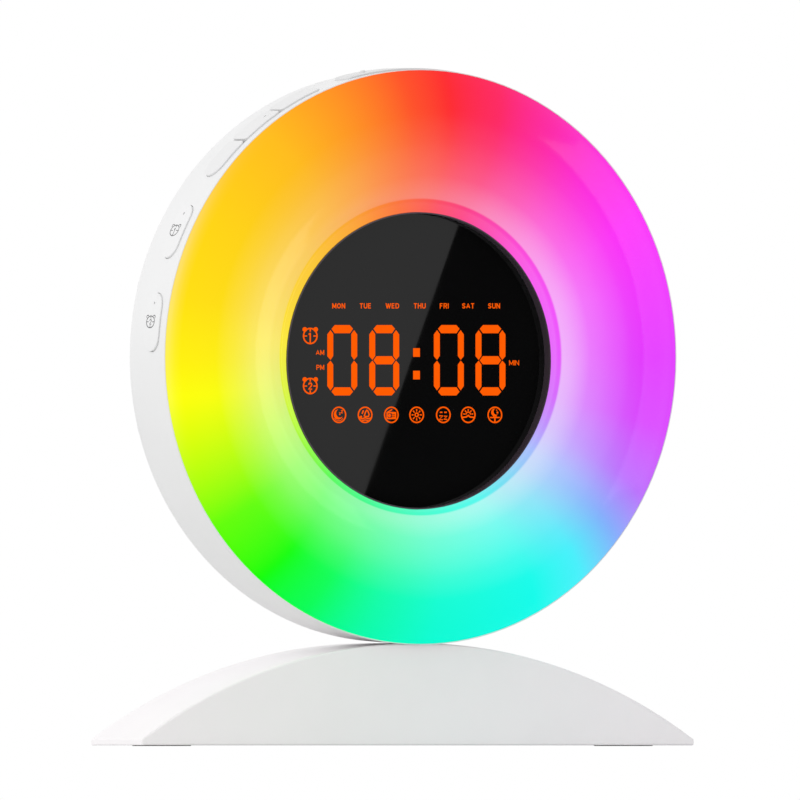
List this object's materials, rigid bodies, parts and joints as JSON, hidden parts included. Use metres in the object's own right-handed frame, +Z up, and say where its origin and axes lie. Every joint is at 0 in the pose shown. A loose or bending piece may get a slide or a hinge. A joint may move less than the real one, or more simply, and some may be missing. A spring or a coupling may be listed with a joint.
{
  "type": "sunrise alarm clock",
  "caption": "Round bedside wake-up light with a colour diffuser ring, recessed digital display, rim buttons and an arched base.",
  "frame": {"origin": "on the table, under the middle of the whole clock's bounding box", "axes": "+Z up, the display faces -Y, +X is to the right of someone facing the display"},
  "size_m": [0.1844, 0.043, 0.2012],
  "materials": {
    "white_shell": "satin white ABS",
    "button_white": "satin white ABS",
    "base_plate": "fine moulded grain",
    "diffuser": "milky, polished outside, lit from behind in all colours",
    "inner_white": "matt white",
    "dark_bezel": "polished near black",
    "dark_window": "polished, smoked",
    "circuit_board": "green solder mask",
    "flexible_board": "amber polyimide",
    "led_package": "white package",
    "black_component": "moulded black",
    "foam": "closed-cell foam",
    "speaker_frame": "black pressed steel",
    "magnet": "ferrite",
    "speaker_paper": "black pressed paper",
    "cell_steel": "bright",
    "contact_metal": "spring brass",
    "screw_steel": "zinc plated",
    "weight_steel": "plain steel bar",
    "rubber": "matt black"
  },
  "bodies": {
    "clock": {"lamp_housing": "white_shell", "back_cover": "white_shell", "base_shell": "white_shell", "base_bottom_plate": "base_plate", "cover_screws": "screw_steel", "tray_screws": "screw_steel", "display_screws": "screw_steel", "board_screws": "screw_steel", "base_plate_screws": "screw_steel", "stem_screws": "screw_steel", "diffuser_ring": "diffuser", "reflector_tray": "inner_white", "digit_light_box": "inner_white", "led_board": "circuit_board", "display_board": "circuit_board", "main_board": "circuit_board", "button_strip": "flexible_board", "colour_leds": "led_package", "tact_switches": "black_component", "board_components": "black_component", "dc_jack": "black_component", "display_bezel": "dark_bezel", "display_window": "dark_window", "speaker_gasket": "foam", "speaker_basket": "speaker_frame", "speaker_magnet": "magnet", "speaker_cone": "speaker_paper", "coin_cell": "cell_steel", "battery_contacts": "contact_metal", "aerial_grommet": "rubber", "base_feet": "rubber", "base_weights": "weight_steel"},
    "sleep_key": {"sleep_button": "button_white"},
    "radio_key": {"radio_button": "button_white"},
    "volume_down_key": {"volume_down_button": "button_white"},
    "sound_key": {"sound_button": "button_white"},
    "volume_up_key": {"volume_up_button": "button_white"},
    "snooze_key": {"snooze_button": "button_white"},
    "brighter_key": {"brighter_button": "button_white"},
    "light_key": {"light_button": "button_white"},
    "dimmer_key": {"dimmer_button": "button_white"},
    "alarm_1_key": {"alarm_1_button": "button_white"},
    "alarm_2_key": {"alarm_2_button": "button_white"},
    "door": {"battery_door": "white_shell"}
  },
  "joints": [
    {"name": "sleep_press", "type": "slide", "parent": "clock", "child": "sleep_key", "axis": [-0.9925, 0, -0.1219], "range_m": [0, 0.0006], "stiffness_N_per_m": 600},
    {"name": "radio_press", "type": "slide", "parent": "clock", "child": "radio_key", "axis": [-0.8988, 0, -0.4384], "range_m": [0, 0.0006], "stiffness_N_per_m": 600},
    {"name": "volume_down_press", "type": "slide", "parent": "clock", "child": "volume_down_key", "axis": [-0.7218, 0, -0.6921], "range_m": [0, 0.0006], "stiffness_N_per_m": 600},
    {"name": "sound_press", "type": "slide", "parent": "clock", "child": "sound_key", "axis": [-0.5906, 0, -0.807], "range_m": [0, 0.0006], "stiffness_N_per_m": 600},
    {"name": "volume_up_press", "type": "slide", "parent": "clock", "child": "volume_up_key", "axis": [-0.4415, 0, -0.8973], "range_m": [0, 0.0006], "stiffness_N_per_m": 600},
    {"name": "snooze_press", "type": "slide", "parent": "clock", "child": "snooze_key", "axis": [0, 0, -1], "range_m": [0, 0.0006], "stiffness_N_per_m": 600},
    {"name": "brighter_press", "type": "slide", "parent": "clock", "child": "brighter_key", "axis": [0.4415, 0, -0.8973], "range_m": [0, 0.0006], "stiffness_N_per_m": 600},
    {"name": "light_press", "type": "slide", "parent": "clock", "child": "light_key", "axis": [0.5906, 0, -0.807], "range_m": [0, 0.0006], "stiffness_N_per_m": 600},
    {"name": "dimmer_press", "type": "slide", "parent": "clock", "child": "dimmer_key", "axis": [0.7218, 0, -0.6921], "range_m": [0, 0.0006], "stiffness_N_per_m": 600},
    {"name": "alarm_1_press", "type": "slide", "parent": "clock", "child": "alarm_1_key", "axis": [0.8988, 0, -0.4384], "range_m": [0, 0.0006], "stiffness_N_per_m": 600},
    {"name": "alarm_2_press", "type": "slide", "parent": "clock", "child": "alarm_2_key", "axis": [0.9925, 0, -0.1219], "range_m": [0, 0.0006], "stiffness_N_per_m": 600},
    {"name": "battery_door_pull", "type": "slide", "parent": "clock", "child": "door", "axis": [0, 1, 0], "range_m": [0, 0.012]}
  ]
}
